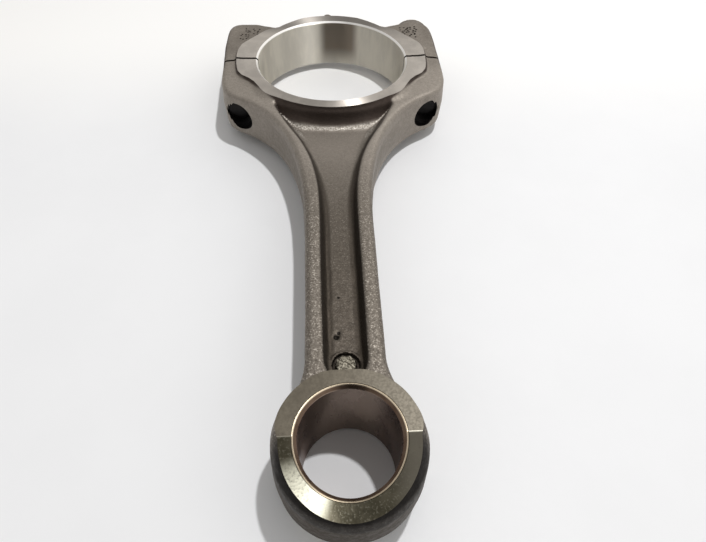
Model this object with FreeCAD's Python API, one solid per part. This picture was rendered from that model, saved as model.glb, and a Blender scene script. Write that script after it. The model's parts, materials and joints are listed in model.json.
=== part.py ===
import FreeCAD, Part
import math
import os

# Connecting rod of a small four-cylinder engine: a forged, fracture-split rod with its bearing cap,
# two cap bolts and a bronze small-end bush.  All sizes are in millimetres.
# Origin: centre of the big-end bore, half-way through its width.
# +Z is the axis of both bores, +Y points from the small end to the cap, and +X is across the rod.

Vec = FreeCAD.Vector
X_DIR = Vec(1, 0, 0)
Y_DIR = Vec(0, 1, 0)
Z_DIR = Vec(0, 0, 1)

# --- driving dimensions -------------------------------------------------------------------------
CENTRE_DISTANCE = 144.0      # big-end bore to small-end bore
FORGED_HALF = 7.7            # half thickness over the as-forged faces
EDGE_RADIUS = 1.4            # rounding of the forged edges

BIG_BORE_R = 26.8            # housing bore, 53.6 mm across
BIG_BORE_CHAMFER = 1.0
BIG_HALF_WIDTH = 9.0         # half width over the machined thrust faces
THRUST_RING_R = 31.4         # thrust face beside the bore
SIDE_PAD_R = 34.5            # thrust face where it widens on the split line
SIDE_PAD_REACH = 13.5        # how far the side pads run along Y from the bore centre

CROWN_R = 35.4               # outside of the cap's crown
CROWN_ANGLE = 27.0           # half the arc of the crown, in degrees
EAR_HALF_SPAN = 40.3         # centre line to the outside of a bolt ear
EAR_TOP_Y = 24.6             # the ear's straight side runs from here
EAR_FOOT_Y = -11.0           # to here
SEAT_Y = 28.5                # machined seat under a bolt head
SEAT_INNER_X = 27.2
SEAT_OUTER_X = 36.4
CREST_VALLEY = (21.2, 26.6)  # lowest point between crown and ear
EAR_CORNER = (39.2, 27.4)    # half-way round the ear's outer corner
FOOT_CORNER = (38.4, -17.8)  # half-way round the corner below the ear
COLLAR_R = 7.7               # raised collar round the right-hand bolt seat
COLLAR_BORE_R = 6.7
COLLAR_TOP_Y = 31.2

BOLT_X = 33.2                # centre line to a bolt axis
THREAD_R = 4.5               # M9 x 1 cap bolt
THREAD_PLAY = 0.05           # radial clearance of the bolt in its threaded hole
CAP_HOLE_R = 4.8             # clearance hole in the cap
BOLT_WAIST_R = 4.2           # reduced shank in the cap
BOLT_END_Y = -18.0           # end of the bolt, inside the mouth of its hole
BOLT_THREAD_LENGTH = 16.0
FLANGE_R = 6.3
FLANGE_THICKNESS = 1.5
HEAD_R = 5.0                 # over the points of the drive head
HEAD_ROOT_R = 4.4            # at the roots between the points
HEAD_HEIGHT = 3.2            # drive head above its flange
HEAD_POINTS = 12

SHANK_HALF = 9.4             # half width over the flanges of the I-beam
SHANK_STRAIGHT_Y = -96.0     # the shank's sides are parallel from here to the neck
POCKET_HALF = 4.3            # half width of the pocket between the flanges
POCKET_STRAIGHT_Y = -78.0    # the pocket's sides are parallel from here to its foot
POCKET_FOOT_GAP = 0.4        # metal left between the pocket's foot and the small-end face
POCKET_HEAD_ANGLE = 37.0     # half the arc of the pocket's head, in degrees
WEB_HALF = 2.6               # half thickness of the web
POCKET_FILLET = 1.8          # rounding between the web and the pocket's walls
POCKET_HEAD_R = 31.8         # round end wall of the pocket, under the thrust ring

# right-hand edges where the rod narrows from the big end to the shank
SHOULDER_CURVE = [(34.3, -21.7), (27.9, -25.7), (21.7, -32.3), (16.7, -40.9), (12.7, -53.0),
                  (10.4, -68.0), (9.6, -84.0)]
POCKET_CURVE = [(15.0, -36.0), (11.4, -43.2), (8.5, -50.2), (6.4, -57.4), (4.9, -66.0)]

SMALL_R = 16.4               # outside of the small end
SMALL_HALF = 11.0            # half width over the parallel part of the small end
SMALL_FACE_R = 15.0          # machined face of the small end
SMALL_FACE_TOP_Y = 15.0      # flat edge of that face towards the shank, from the pin centre
NECK_R = 13.0                # fillet between shank and small end
TAPER = 0.27                 # drop of the tapered faces per millimetre towards the free end
TAPER_START = 0.5            # the crease lies this far on the shank side of the pin centre
BUSH_OUTER_R = 11.6
BUSH_BORE_R = 10.5

PIP_R = 2.3                  # round forging pad in the pocket beside the small end
PIP_FROM_PIN = 20.1
PIP_HEIGHT = 2.3
NUB_R = 1.7                  # nub on the cap's crown
NUB_TOP_Z = 6.4

# height of the crack over the split plane, from left to right
CRACK = [(-38.0, 0.5), (-35.0, 0.9), (-34.5, 0.1), (-26.0, -0.1), (26.0, 0.2), (31.0, 0.6),
         (34.4, 1.0), (34.9, 2.0), (38.6, 1.5)]

SMALL_Y = -CENTRE_DISTANCE
REACH = 60.0                 # long enough for any cutting tool to pass right through


def point(x, y):
    return Vec(x, y, 0)


def arc(start, middle, end):
    return Part.Arc(start, middle, end).toShape()


def line(start, end):
    return Part.makeLine(start, end)


def smooth(points):
    curve = Part.BSplineCurve()
    curve.interpolate(points)
    return curve.toShape()


def mirrored(edges):
    """The given edges and their mirror image across the rod's centre plane."""
    return edges + [edge.mirror(point(0, 0), X_DIR) for edge in edges]


def face_of(edges):
    sorted_edges = Part.__sortEdges__(edges)
    return Part.Face(Part.Wire(sorted_edges))


def slab(face, half):
    """A face in the plane z = 0 thickened to +-half."""
    moved = face.copy()
    moved.translate(Vec(0, 0, -half))
    return moved.extrude(Vec(0, 0, 2 * half))


def disc(radius, half, centre=Vec(0, 0, 0)):
    return Part.makeCylinder(radius, 2 * half, centre - Z_DIR * half, Z_DIR)


def on_circle(radius, degrees_from_y):
    angle = math.radians(degrees_from_y)
    return point(radius * math.sin(angle), radius * math.cos(angle))


# --- plan of the forging ------------------------------------------------------------------------
def plan_edges():
    """Right half of the outline, from the top of the crown to the free end of the small end."""
    crown_end = on_circle(CROWN_R, CROWN_ANGLE)
    seat_start = point(SEAT_INNER_X, SEAT_Y)
    seat_end = point(SEAT_OUTER_X, SEAT_Y)
    side_top = point(EAR_HALF_SPAN, EAR_TOP_Y)
    side_bottom = point(EAR_HALF_SPAN, EAR_FOOT_Y)
    small_centre = point(0, SMALL_Y)
    neck_x = SHANK_HALF + NECK_R
    neck_reach = SMALL_R + NECK_R
    neck_centre = point(neck_x, SMALL_Y + math.sqrt(neck_reach ** 2 - neck_x ** 2))
    neck_start = neck_centre - X_DIR * NECK_R
    neck_end = small_centre + (neck_centre - small_centre) * (SMALL_R / neck_reach)
    toward_middle = (neck_start + neck_end) * 0.5 - neck_centre
    neck_middle = neck_centre + toward_middle.normalize() * NECK_R
    straight_start = point(SHANK_HALF, SHANK_STRAIGHT_Y)
    shoulder = [point(x, y) for x, y in SHOULDER_CURVE] + [straight_start]
    return [
        arc(point(0, CROWN_R), on_circle(CROWN_R, CROWN_ANGLE / 2), crown_end),
        arc(crown_end, point(*CREST_VALLEY), seat_start),
        line(seat_start, seat_end),
        arc(seat_end, point(*EAR_CORNER), side_top),
        line(side_top, side_bottom),
        arc(side_bottom, point(*FOOT_CORNER), shoulder[0]),
        smooth(shoulder),
        line(straight_start, neck_start),
        arc(neck_start, neck_middle, neck_end),
        arc(neck_end, small_centre + X_DIR * SMALL_R, small_centre - Y_DIR * SMALL_R),
    ]


def pocket_face():
    """Floor of the pocket between the flanges of the I-beam, half-way up its leaning walls."""
    head = on_circle(POCKET_HEAD_R, 180 - POCKET_HEAD_ANGLE)
    head_middle = on_circle(POCKET_HEAD_R, 180 - POCKET_HEAD_ANGLE / 2)
    foot_y = SMALL_Y + SMALL_FACE_TOP_Y + POCKET_HALF + POCKET_FOOT_GAP
    slant = POCKET_HALF * math.sqrt(0.5)
    narrow = point(POCKET_HALF, POCKET_STRAIGHT_Y)
    side = [head] + [point(x, y) for x, y in POCKET_CURVE] + [narrow]
    half = [
        arc(point(0, -POCKET_HEAD_R), head_middle, head),
        smooth(side),
        line(narrow, point(POCKET_HALF, foot_y)),
        arc(point(POCKET_HALF, foot_y), point(slant, foot_y - slant), point(0, foot_y - POCKET_HALF)),
    ]
    return face_of(mirrored(half))


def pocket(side):
    """The pocket on one face of the shank (side is +1 or -1), with a rounded floor edge."""
    floor = pocket_face()
    floor.translate(Vec(0, 0, side * WEB_HALF))
    tool = floor.extrude(Vec(0, 0, side * FORGED_HALF))
    floor_edges = [edge for edge in tool.Edges
                   if abs(edge.CenterOfMass.z - side * WEB_HALF) < 1e-3]
    return tool.makeFillet(POCKET_FILLET, floor_edges)


def taper_cutter(side):
    """Removes what lies beyond the tapered face of the small end on one side."""
    start = Vec(-REACH, SMALL_Y + TAPER_START, side * SMALL_HALF)
    end = Vec(-REACH, SMALL_Y - REACH, side * (SMALL_HALF - TAPER * (REACH + TAPER_START)))
    corner = Vec(-REACH, SMALL_Y - REACH, side * REACH)
    corner_over_start = Vec(-REACH, SMALL_Y + TAPER_START, side * REACH)
    profile = Part.makePolygon([start, end, corner, corner_over_start, start])
    return Part.Face(profile).extrude(X_DIR * (2 * REACH))


def bore_cutter(radius, chamfer, half, centre):
    """A through bore with a chamfer at each face."""
    cutter = disc(radius, REACH, centre)
    for side in (1, -1):
        wide = centre + Z_DIR * (side * half)
        cone = Part.makeCone(radius + chamfer, radius, chamfer, wide, Z_DIR * -side)
        cutter = cutter.fuse(cone)
    return cutter


def on_bolt_axis(radius, y_from, y_to, x):
    """A cylinder on a bolt's axis."""
    return Part.makeCylinder(radius, y_to - y_from, Vec(x, y_from, 0), Y_DIR)


# --- the whole forging, before it is split ------------------------------------------------------
def forging():
    blank = slab(face_of(mirrored(plan_edges())), FORGED_HALF)
    rim = [edge for edge in blank.Edges
           if abs(abs(edge.CenterOfMass.z) - FORGED_HALF) < 1e-3]
    blank = blank.makeFillet(EDGE_RADIUS, rim)
    for side in (1, -1):
        blank = blank.cut(pocket(side))

    side_pads = disc(SIDE_PAD_R, BIG_HALF_WIDTH).common(
        Part.makeBox(2 * REACH, 2 * SIDE_PAD_REACH, 2 * REACH,
                     Vec(-REACH, -SIDE_PAD_REACH, -REACH)))
    small_face = disc(SMALL_FACE_R, SMALL_HALF, point(0, SMALL_Y)).common(
        Part.makeBox(2 * REACH, REACH, 2 * REACH,
                     Vec(-REACH, SMALL_Y + SMALL_FACE_TOP_Y - REACH, -REACH)))
    pip = Part.makeCylinder(PIP_R, PIP_HEIGHT + WEB_HALF, point(0, SMALL_Y + PIP_FROM_PIN), Z_DIR)
    nub = Part.makeCylinder(NUB_R, NUB_TOP_Z, point(0, CROWN_R), Z_DIR)
    collar = on_bolt_axis(COLLAR_R, 0, COLLAR_TOP_Y, BOLT_X)
    body = blank.multiFuse([disc(THRUST_RING_R, BIG_HALF_WIDTH), side_pads, small_face, pip, nub, collar])
    body = body.cut(on_bolt_axis(COLLAR_BORE_R, SEAT_Y, REACH, BOLT_X))

    body = body.cut(bore_cutter(BIG_BORE_R, BIG_BORE_CHAMFER, BIG_HALF_WIDTH, point(0, 0)))
    body = body.cut(disc(BUSH_OUTER_R, REACH, point(0, SMALL_Y)))
    for side in (1, -1):
        body = body.cut(taper_cutter(side))
    return body.removeSplitter()


def cap_side_of_fracture():
    """Everything beyond the fracture: a block whose lower face wanders like the crack did."""
    crack = [(-REACH, CRACK[0][1])] + CRACK + [(REACH, CRACK[-1][1])]
    outline = [Vec(x, y, -REACH) for x, y in crack]
    outline += [Vec(REACH, REACH, -REACH), Vec(-REACH, REACH, -REACH)]
    outline.append(outline[0])
    return Part.Face(Part.makePolygon(outline)).extrude(Z_DIR * (2 * REACH))


def rod_body(whole):
    body = whole.cut(cap_side_of_fracture())
    for x in (-BOLT_X, BOLT_X):
        body = body.cut(on_bolt_axis(THREAD_R, -REACH, REACH, x))
    return body


def bearing_cap(whole):
    body = whole.common(cap_side_of_fracture())
    for x in (-BOLT_X, BOLT_X):
        body = body.cut(on_bolt_axis(CAP_HOLE_R, -REACH, REACH, x))
    return body


def small_end_bush():
    bush = disc(BUSH_OUTER_R, SMALL_HALF, point(0, SMALL_Y))
    for side in (1, -1):
        bush = bush.cut(taper_cutter(side))
    bush = bush.cut(disc(BUSH_BORE_R, REACH, point(0, SMALL_Y)))
    return bush


def cap_bolt(x):
    """Thread, reduced shank, flange and a twelve-point head, all on the bolt's axis."""
    thread_end = BOLT_END_Y + BOLT_THREAD_LENGTH
    flange_top = SEAT_Y + FLANGE_THICKNESS
    thread = on_bolt_axis(THREAD_R - THREAD_PLAY, BOLT_END_Y, thread_end, x)
    waist = on_bolt_axis(BOLT_WAIST_R, thread_end, SEAT_Y, x)
    flange = on_bolt_axis(FLANGE_R, SEAT_Y, flange_top, x)
    corners = []
    for index in range(2 * HEAD_POINTS):
        angle = math.pi * index / HEAD_POINTS
        radius = HEAD_R if index % 2 == 0 else HEAD_ROOT_R
        corners.append(Vec(x + radius * math.cos(angle), flange_top, radius * math.sin(angle)))
    corners.append(corners[0])
    head = Part.Face(Part.makePolygon(corners)).extrude(Y_DIR * HEAD_HEIGHT)
    return thread.multiFuse([waist, flange, head])


def main():
    os.makedirs("parts", exist_ok=True)
    whole = forging()
    parts = {
        "rod_body": rod_body(whole),
        "bearing_cap": bearing_cap(whole),
        "small_end_bush": small_end_bush(),
        "cap_bolt_left": cap_bolt(-BOLT_X),
        "cap_bolt_right": cap_bolt(BOLT_X),
    }
    for name, shape in parts.items():
        solids = shape.Solids
        print(name, "solids", len(solids), "valid", shape.isValid(), "volume", round(shape.Volume, 1))
        shape.exportStep(os.path.join("parts", name + ".step"))


main()
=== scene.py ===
import json
import math

import bpy
import numpy as np
from mathutils import Matrix, Vector


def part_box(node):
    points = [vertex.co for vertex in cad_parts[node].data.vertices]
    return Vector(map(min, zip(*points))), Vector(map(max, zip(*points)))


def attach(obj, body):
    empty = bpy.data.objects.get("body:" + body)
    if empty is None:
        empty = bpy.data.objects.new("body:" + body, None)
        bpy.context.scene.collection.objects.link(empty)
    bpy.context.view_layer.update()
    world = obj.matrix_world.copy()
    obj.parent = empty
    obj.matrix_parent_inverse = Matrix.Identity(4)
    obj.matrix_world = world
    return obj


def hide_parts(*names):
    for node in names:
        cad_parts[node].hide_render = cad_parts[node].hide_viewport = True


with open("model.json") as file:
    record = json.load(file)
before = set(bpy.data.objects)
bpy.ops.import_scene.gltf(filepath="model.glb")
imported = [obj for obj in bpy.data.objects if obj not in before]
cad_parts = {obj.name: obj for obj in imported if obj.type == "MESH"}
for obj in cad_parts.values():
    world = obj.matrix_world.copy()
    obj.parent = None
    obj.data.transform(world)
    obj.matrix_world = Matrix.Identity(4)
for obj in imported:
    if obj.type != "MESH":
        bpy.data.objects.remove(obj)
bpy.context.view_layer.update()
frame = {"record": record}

# Looks of a forged, fracture-split connecting rod.  Shapes are worked out in millimetres in the
# frame's own axes (+Z along the bores, +Y towards the cap) and turned into metres at the end.
# The forging is one solid field, meshed once, and then cut like the real one: machined faces,
# bores and bolt seats, then the crack that parts the cap from the rod, and last the bolt holes.

MM = 0.001


# --- sizes from the frame ---
def box_mm(node):
    low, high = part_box(node)
    return np.array(low) / MM, np.array(high) / MM


MOUNTS = {mount["name"]: mount for mount in frame["record"]["mounts"]}
BIG_R = MOUNTS["big_end_bore"]["dims"]["r_mm"]
BUSH_R = MOUNTS["small_end_bore"]["dims"]["r_mm"]
PIN_Y = MOUNTS["small_end_bore"]["pos_m"][1] / MM

CAP_LOW, CAP_HIGH = box_mm("bearing_cap")
ROD_LOW, ROD_HIGH = box_mm("rod_body")
BOLT_LOW, BOLT_HIGH = box_mm("cap_bolt_right")

BIG_HALF = CAP_HIGH[2]                  # machined thrust faces
SMALL_HALF = ROD_HIGH[2]                # machined small-end faces
BUSH_OUTER = box_mm("small_end_bush")[1][0]
EAR_SPAN = -CAP_LOW[0]
BOLT_X = (BOLT_LOW[0] + BOLT_HIGH[0]) / 2
BOLT_SIDES = (-BOLT_X, BOLT_X)
BOLT_END = BOLT_LOW[1]
BOLT_TOP = BOLT_HIGH[1]
FLANGE_R = BOLT_HIGH[2]

# --- sizes of the forging ---
FORGED_HALF = 7.7                       # half the forged thickness
PLAN_DRAFT = 0.06                       # lean of the outside, from the parting line up
EDGE_ROUND = 1.5
STOCK = 0.5                             # left on for machining
CROWN_R = 35.5
NUB_X, NUB_Y, NUB_R, NUB_TOP = -0.9, CROWN_R + 0.1, 1.5, 7.2
SEAT_Y = 28.5                           # seats under the bolt heads
SEAT_R = 9.0                            # spot face under the left-hand bolt head
COLLAR_R = CAP_HIGH[0] - BOLT_X         # a round collar stands up round the right-hand bolt head
COLLAR_SEAT_R = 6.7
COLLAR_TOP = 31.2
EAR_SHIFT = 0.8                         # the left ear was forged a little out of place
NECK_R = 18.0                           # fillet between the shank and the small end
SHANK_HALF = 9.55
WEB_HALF = 2.6
STRIP_HALF = 2.75                       # the web's flat strip, between two shallow gutters
GUTTER_DEPTH = 0.5
PIP_Y = PIN_Y + 20.1
PIP_R, PIP_GROOVE_R, PIP_RIM_R = 2.45, 2.8, 3.9
PITS = [(-1.9, PIN_Y + 28.0, 0.75), (-1.3, PIN_Y + 29.1, 0.5), (-1.0, PIN_Y + 39.7, 0.4)]
SMALL_R = 16.3
SMALL_R_FREE = 16.0                     # the small end is slimmer round its free half
FACE_R = 14.3                           # edge of the machined face round the free half
BEVEL_SLOPE = 1.3                       # of the forged bevel that frames that face
BOSS_SHIFT = 0.1                        # the forged boss sits a little off its bore

# --- sizes of the machining and the bolts ---
CREASE_Y = PIN_Y + 0.5                  # the small end tapers from here to its free end
TAPER = 0.27
BORE_CHAMFER = 0.7
BUSH_CHAMFER = 0.8
THREAD_R = 4.5
THREAD_DEPTH = 0.55
THREAD_PLAY = 0.08
THREAD_LENGTH = 16.0
PITCH = 1.0
TAPPED_FROM, TAPPED_TO = -24.0, 6.0
MOUTH_R = 4.9                           # plain end of the tapped hole, on the shank's side
CAP_HOLE_R = 4.8
WAIST_R = 4.1
HEAD_R = 5.0
HEAD_POINTS = 12
LOBE_HALF_DEPTH = 0.32
TOOL_FEED = 0.22                        # spacing of the turning marks
DOT_ROWS, DOT_COLUMNS = 7, 5

CREASE_BEND = math.cos(math.radians(8))
FAR = 60.0                              # outside every part of the rod but its small end
VOXEL = 0.4
COARSE = 4                              # voxels to a step of the forging's slow waviness
ALONG_BORE = (0.0, 0.0, 1.0)


# --- solid fields ---
def blend(value, start, end):
    """0 before the start, 1 past the end, and a straight change between; either may be the larger."""
    return np.clip((value - start) / (end - start), 0, 1)


def round_union(a, b, radius):
    """Union of two fields with a fillet of the given radius where they meet."""
    u = np.maximum(radius - a, 0)
    v = np.maximum(radius - b, 0)
    return np.maximum(radius, np.minimum(a, b)) - np.sqrt(u * u + v * v)


def round_cut(a, b, radius):
    """Where both a and b hold, with the edge between them rounded."""
    u = np.maximum(radius + a, 0)
    v = np.maximum(radius + b, 0)
    return np.minimum(-radius, np.maximum(a, b)) + np.sqrt(u * u + v * v)


def curve(points, steps=10):
    """A smooth curve through the points (Catmull-Rom), as an array of points."""
    points = np.array(points, float)
    padded = np.vstack([2 * points[0] - points[1], points, 2 * points[-1] - points[-2]])
    t = np.linspace(0, 1, steps, endpoint=False)[:, None]
    pieces = []
    for a, b, c, d in zip(padded, padded[1:], padded[2:], padded[3:]):
        pieces.append(0.5 * (2 * b + (c - a) * t + (2 * a - 5 * b + 4 * c - d) * t ** 2
                             + (3 * b - a - 3 * c + d) * t ** 3))
    pieces.append(points[-1:])
    return np.vstack(pieces)


def arc(centre, radius, start, end, steps=24):
    """Points on an arc; angles in degrees from +X."""
    angle = np.radians(np.linspace(start, end, steps))
    return np.stack([centre[0] + radius * np.cos(angle), centre[1] + radius * np.sin(angle)], 1)


def both_sides(half):
    """Closes a right-hand half outline with its mirror image."""
    left = half[::-1] * (-1, 1)
    return np.vstack([half, left])


def polygon_distance(x, y, outline):
    """Signed distance in the plane to a closed outline; negative inside."""
    shape = x.shape
    px, py = x.ravel(), y.ravel()
    best = np.full(px.shape, 1e9)
    inside = np.zeros(px.shape, bool)
    for (ax, ay), (bx, by) in zip(outline, np.roll(outline, -1, 0)):
        dx, dy = bx - ax, by - ay
        length2 = dx * dx + dy * dy
        if length2 < 1e-12:
            continue
        t = np.clip(((px - ax) * dx + (py - ay) * dy) / length2, 0, 1)
        best = np.minimum(best, (px - ax - t * dx) ** 2 + (py - ay - t * dy) ** 2)
        crosses = ((ay <= py) != (by <= py))
        if dy != 0:
            inside ^= crosses & (px < ax + (py - ay) / dy * dx)
    distance = np.sqrt(best)
    return np.where(inside, -distance, distance).reshape(shape)


def value_noise(points, cell, seed):
    """Smooth lattice noise in -1..1 at the given points."""
    scaled = points / cell
    base = np.floor(scaled).astype(np.int64)
    local = scaled - base
    local = local * local * (3 - 2 * local)
    total = np.zeros(points.shape[:-1])
    for corner in range(8):
        offset = np.array([corner & 1, corner >> 1 & 1, corner >> 2 & 1])
        # Large odd factors scramble the corner's place into a value that looks random.
        key = base + offset
        mixed = (key[..., 0] * 73856093) ^ (key[..., 1] * 19349663) ^ (key[..., 2] * 83492791)
        mixed = (mixed + seed * 2654435761) & 0xFFFFFFFF
        mixed = ((mixed ^ (mixed >> 15)) * 2246822519) & 0xFFFFFFFF
        mixed = ((mixed ^ (mixed >> 13)) * 3266489917) & 0xFFFFFFFF
        value = ((mixed ^ (mixed >> 16)) & 0xFFFF) / 32767.5 - 1
        weight = np.ones(points.shape[:-1])
        for axis in range(3):
            weight = weight * (local[..., axis] if offset[axis] else 1 - local[..., axis])
        total += value * weight
    return total


# --- the forging ---
def plan_outline():
    """Outline of the forging at its parting line."""
    shoulder_x = EAR_SPAN + 0.3
    upper = curve([(0, CROWN_R), (7, 34.8), (12.4, 33.2), (15.9, 30.9), (18.3, 28.6), (21.7, 27.0),
                   (25.2, 27.6), (28.0, SEAT_Y + 0.3)])
    seat = curve([(30.0, SEAT_Y + 0.6), (35.6, SEAT_Y + 0.5), (38.6, 27.4), (shoulder_x - 0.5, 24.0),
                  (shoulder_x - 0.1, 17.0), (shoulder_x, 8.0), (shoulder_x, -7.0),
                  (shoulder_x - 0.6, -13.5), (38.0, -18.8), (34.3, -22.2), (31.0, -24.2),
                  (27.9, -26.5), (24.6, -29.6), (21.2, -33.7), (18.0, -38.9), (15.3, -44.9),
                  (13.0, -52.5), (11.3, -61.0), (10.3, -70.0), (9.85, -80.0), (9.65, -95.0),
                  (SHANK_HALF, -108.0), (SHANK_HALF, -118.0)])
    reach = SMALL_R + NECK_R
    centre = np.array([SHANK_HALF + NECK_R, 0.0])
    centre[1] = PIN_Y + math.sqrt(reach ** 2 - centre[0] ** 2)
    lean = math.degrees(math.atan2(centre[1] - PIN_Y, centre[0]))
    neck = arc(centre, NECK_R, 180, 180 + lean)
    end = arc((0, 0), 1.0, lean, -90, 40)
    end = end * end_radius(PIN_Y + SMALL_R * end[:, 1])[:, None] + (0, PIN_Y)
    return both_sides(np.vstack([upper, seat, neck, end]))


def end_radius(y):
    """Forged radius of the small end at its parting line."""
    return SMALL_R - (SMALL_R - SMALL_R_FREE) * blend(y, PIN_Y + 4, PIN_Y - 4)


def die_shift(x, y):
    """How far the forging sits to the right of its nominal outline."""
    small_end = BOSS_SHIFT * blend(y, PIN_Y + 19, PIN_Y + 9)
    left_ear = blend(x, -34, -39) * blend(y, 12, -2) * blend(y, -26, -20)
    return small_end + EAR_SHIFT * left_ear


def pocket_outline():
    """Mouth of the pocket between the two flanges of the I-beam."""
    head = arc((0, 0), 32.0, -90, -52, 16)
    side = curve([(19.9, -27.6), (15.9, -36.8), (12.2, -43.9), (9.4, -50.4), (7.4, -57.1),
                  (6.0, -64.7), (5.4, -73.0), (5.2, -83.0), (5.15, -97.0), (5.1, -112.0),
                  (5.0, -121.0)])
    foot = curve([(5.0, -123.0), (4.6, -126.4), (3.0, -128.8), (0, -129.6)])
    return both_sides(np.vstack([head, side, foot]))


def thrust_radius(azimuth):
    """Outer radius of the raised thrust face; azimuth in degrees from +Y, the same on both sides."""
    stops = [(0, 31.9), (20, 31.9), (31, 30.9), (41, 30.3), (50, 32.2), (61, 32.9), (67, 33.8),
             (73, 34.9), (80, 35.0), (92, 34.5), (104, 34.4), (109, 33.6), (114, 31.9),
             (119, 31.2), (180, 31.2)]
    at, radius = zip(*stops)
    return np.interp(azimuth, at, radius)


def taper_height(y):
    """Half the thickness of the small end between its machined faces."""
    return SMALL_HALF - TAPER * np.maximum(0, CREASE_Y - y)


def forging_field(x, y, z, plan, pocket):
    """Field of the whole forging, with stock left on for the faces that get machined."""
    height = np.abs(z)
    radius = np.hypot(x, y)
    crown = blend(radius, 29, 33) * blend(y, 12, 20) * blend(np.abs(x), 24, 20)
    body = round_cut(plan + height * PLAN_DRAFT, height - FORGED_HALF, EDGE_ROUND + 1.2 * crown)
    body = round_cut(body, -pocket_field(x, y, height, pocket), 0.7)

    collar_middle = 20
    collar_ends = np.abs(y - collar_middle) - (COLLAR_TOP - collar_middle)
    collar = np.maximum(np.hypot(x - BOLT_X, z) - COLLAR_R, collar_ends)
    body = round_union(body, collar, EDGE_ROUND)

    azimuth = np.degrees(np.arctan2(np.abs(x), y))
    ring = radius - thrust_radius(azimuth) + (height - BIG_HALF) * 0.25
    ring = round_cut(ring, height - BIG_HALF - STOCK, 0.3)
    wing = np.exp(-((azimuth - 134) / 10) ** 2)
    body = round_union(body, ring, 0.9 + 2.6 * wing)

    body = small_end_field(x, y, height, body)
    body = pip_field(x, y, z, body)
    nub = np.maximum(np.hypot(x - NUB_X, y - NUB_Y) - NUB_R, height - NUB_TOP)
    return round_union(body, nub, 0.8)


def pocket_field(x, y, height, pocket):
    """The pocket: leaning walls, and a floor with a gutter along each side of the web's flat strip."""
    head = blend(y, -62, -38)
    lean = 0.16 + 0.22 * head * blend(np.abs(x), 5, 11)
    walls = pocket + (FORGED_HALF - height) * lean
    wander = 0.10 * np.sin(y * 0.83) + 0.14 * np.sin(y * 0.31 + 1)
    keyhole = 1.3 * np.exp(-((y - PIP_Y) / 3.2) ** 2)
    gutter = np.clip(np.abs(x - wander) - STRIP_HALF - keyhole, 0, 1) * blend(y, -66, -91)
    floor = WEB_HALF - GUTTER_DEPTH * gutter - height
    return round_cut(walls, floor, EDGE_ROUND + 2.2 * head)


def small_end_field(x, y, height, body):
    """Adds the boss of the small end; round its free half a bevel frames the machined face."""
    free = blend(y, PIN_Y + 6, PIN_Y)
    face = taper_height(y)
    edge = np.hypot(x, y - PIN_Y + 0.6) - FACE_R
    bevel = (edge + (height - face) * BEVEL_SLOPE) / math.hypot(1, BEVEL_SLOPE) - 3 * (1 - free)
    bevel = np.where(free > 0, bevel, -10.0)
    draft = 0.03 * height + 0.2 * np.maximum(0, height - 7)
    boss = np.hypot(x - BOSS_SHIFT + 0.25 * (1 - free), y - PIN_Y) - end_radius(y) + draft
    flat = y - (PIN_Y + 14.7) + (height - SMALL_HALF) * 0.3
    boss = round_cut(round_cut(boss, flat, 0.5), bevel, EDGE_ROUND)
    boss = np.maximum(boss, height - face - 0.8)
    return round_union(round_cut(body, bevel, EDGE_ROUND), boss, 0.8)


def pip_field(x, y, z, body):
    """Adds the lumpy pip left by the die at the foot of the web, in its own ring-shaped groove."""
    from_pip = np.hypot(x - 0.15, y - PIP_Y)
    rim = np.maximum(from_pip - PIP_RIM_R, z - (WEB_HALF + 0.5))
    body = round_union(body, np.maximum(rim, -z), 0.25)
    groove = np.maximum(np.abs(from_pip - PIP_GROOVE_R) - 0.42, (WEB_HALF - 0.7) - z)
    groove = np.maximum(groove, z - (WEB_HALF + 2.0))
    body = np.maximum(body, -groove)
    lumps = 0.16 * np.sin(x * 3.1 + 1) * np.sin(y * 2.7) + 0.10 * np.sin(x * 5.3 + y * 4.1)
    pip = round_cut(from_pip - PIP_R - lumps, z - (WEB_HALF + 1.0 + lumps), 0.6)
    body = np.minimum(body, np.maximum(pip, -z))
    for pit_x, pit_y, size in PITS:
        pit = np.hypot(np.hypot(x - pit_x, y - pit_y), z - WEB_HALF - 0.1) - size
        body = np.maximum(body, -pit)
    return body


def field_mesh(name):
    """Meshes the forging's field with surface nets."""
    margin = 2
    x_axis = np.arange(-EAR_SPAN - margin, CAP_HIGH[0] + margin, VOXEL)
    y_axis = np.arange(PIN_Y - SMALL_R - margin, CROWN_R + 2 * margin, VOXEL)
    z_axis = np.arange(-SMALL_HALF - margin, SMALL_HALF + margin, VOXEL)
    flat_x, flat_y = np.meshgrid(x_axis, y_axis, indexing="ij")
    plan = polygon_distance(flat_x - die_shift(flat_x, flat_y), flat_y, plan_outline())
    pocket = polygon_distance(flat_x, flat_y, pocket_outline())
    values = np.empty((len(x_axis), len(y_axis), len(z_axis)), np.float32)
    for k, z in enumerate(z_axis):
        values[:, :, k] = forging_field(flat_x, flat_y, z, plan, pocket)
    values += waviness(x_axis, y_axis, z_axis)
    vertices, quads = surface_nets(values)
    corner = np.array([x_axis[0], y_axis[0], z_axis[0]])
    return build_mesh(name, vertices * VOXEL + corner, quads)


def waviness(*axes):
    """The slow waviness of a forged skin: noise on a coarse grid, filled in between its points."""
    coarse = np.stack(np.meshgrid(*[axis[::COARSE] for axis in axes], indexing="ij"), -1)
    wobble = value_noise(coarse, 9.0, 3) * 0.07 + value_noise(coarse, 4.0, 5) * 0.035
    for number, axis in enumerate(axes):
        places = np.minimum(np.arange(len(axis)) / COARSE, wobble.shape[number] - 1.001)
        low = places.astype(int)
        high = np.minimum(low + 1, wobble.shape[number] - 1)
        share = (places - low).reshape([-1 if a == number else 1 for a in range(3)])
        wobble = np.take(wobble, low, number) * (1 - share) + np.take(wobble, high, number) * share
    return wobble.astype(np.float32)


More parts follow.
